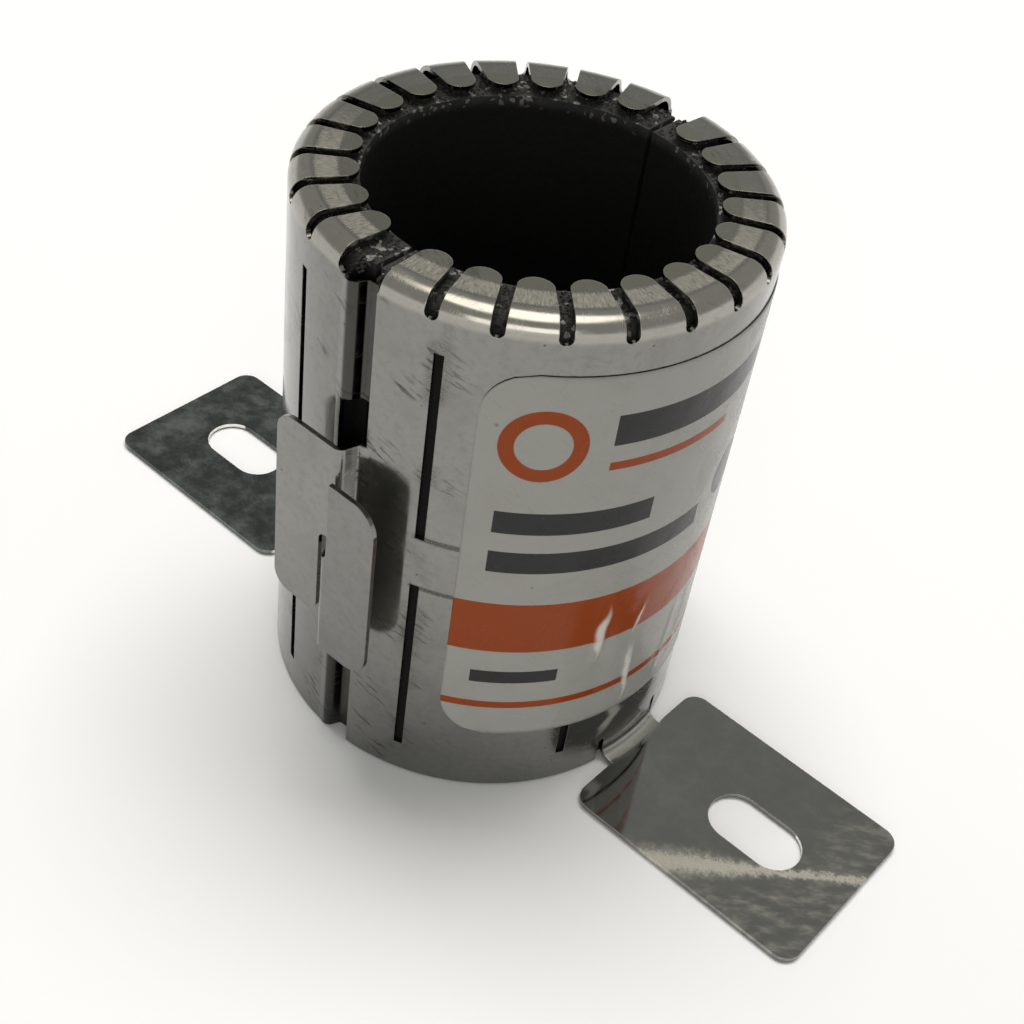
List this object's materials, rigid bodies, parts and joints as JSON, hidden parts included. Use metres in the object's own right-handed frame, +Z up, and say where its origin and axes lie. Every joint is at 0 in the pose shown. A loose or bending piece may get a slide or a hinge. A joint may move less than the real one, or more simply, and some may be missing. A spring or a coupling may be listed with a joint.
{
  "type": "pipe fire collar",
  "caption": "Hooked half-shell fire collar in folded steel that closes round a pipe, with a swelling graphite liner, fingers folded in over its end and slotted tabs for anchoring to a slab.",
  "frame": {"origin": "centre of the base plane, on the pipe axis", "axes": "+Z up along the pipe axis from the base to the folded fingers, +X through the front half's fixing tab, the two latches at -Y and +Y"},
  "size_m": [0.1094, 0.054, 0.0632],
  "materials": {
    "steel_front": "bright rolled stainless sheet",
    "steel_rear": "bright rolled stainless sheet",
    "graphite_front": "matt granular",
    "graphite_rear": "matt granular",
    "label": "satin film"
  },
  "bodies": {
    "root": {"front_half_shell": "steel_front", "rear_half_shell": "steel_rear", "front_liner_strip": "graphite_front", "rear_liner_strip": "graphite_rear", "label": "label"}
  },
  "joints": []
}
